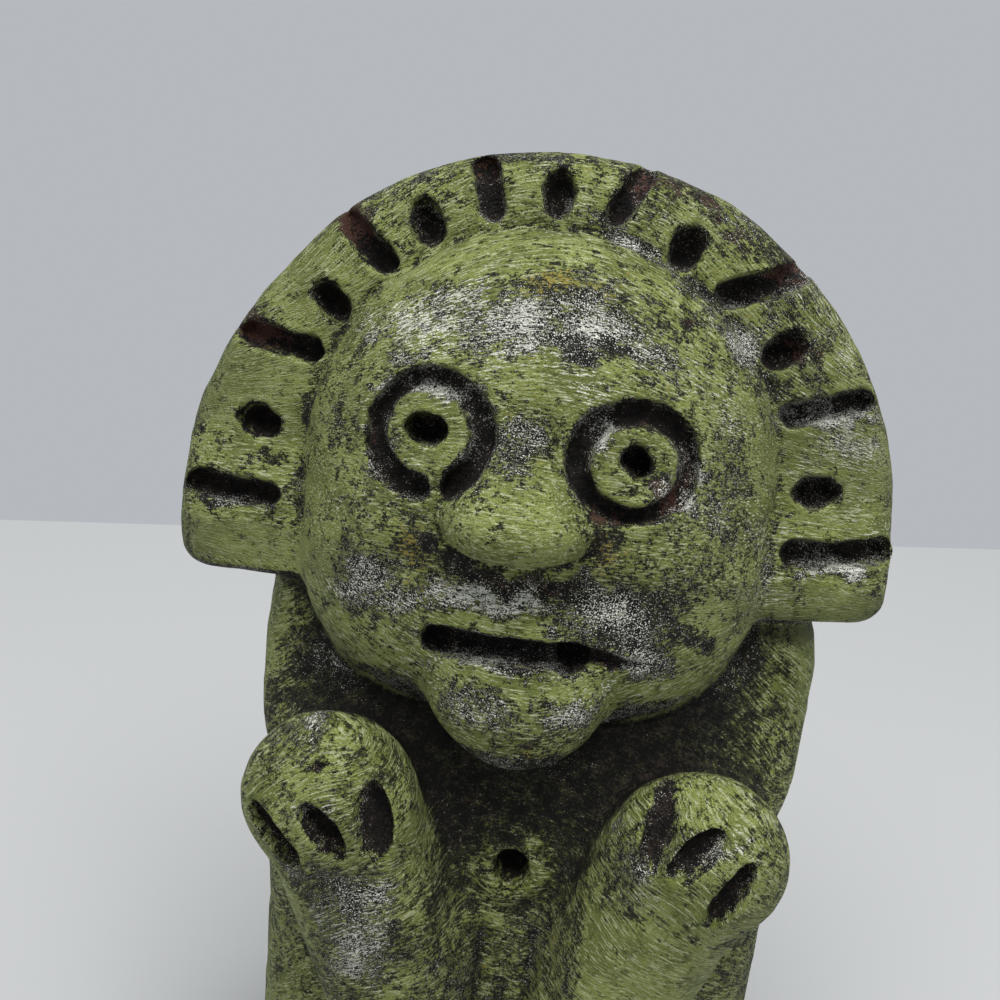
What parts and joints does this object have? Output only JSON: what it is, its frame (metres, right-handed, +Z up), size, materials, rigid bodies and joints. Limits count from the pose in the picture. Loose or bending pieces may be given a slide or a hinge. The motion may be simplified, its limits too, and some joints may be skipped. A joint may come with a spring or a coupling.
{
  "type": "pre-columbian figurine",
  "caption": "Squatting hand-modelled clay figurine with a notched half-round headdress, ringed eyes and hands on its knees, standing on its own flat underside.",
  "frame": {"origin": "middle of the flat underside, below the torso", "axes": "+Z up, the figure faces -Y, +X to the viewer's right"},
  "size_m": [0.0785, 0.0459, 0.1159],
  "materials": {
    "painted_clay": "matt yellow-green paint rubbed over fired clay, dark brown to black in the hollows, fine white speckle where it is worn"
  },
  "bodies": {
    "root": {"figurine": "painted_clay"}
  },
  "joints": []
}
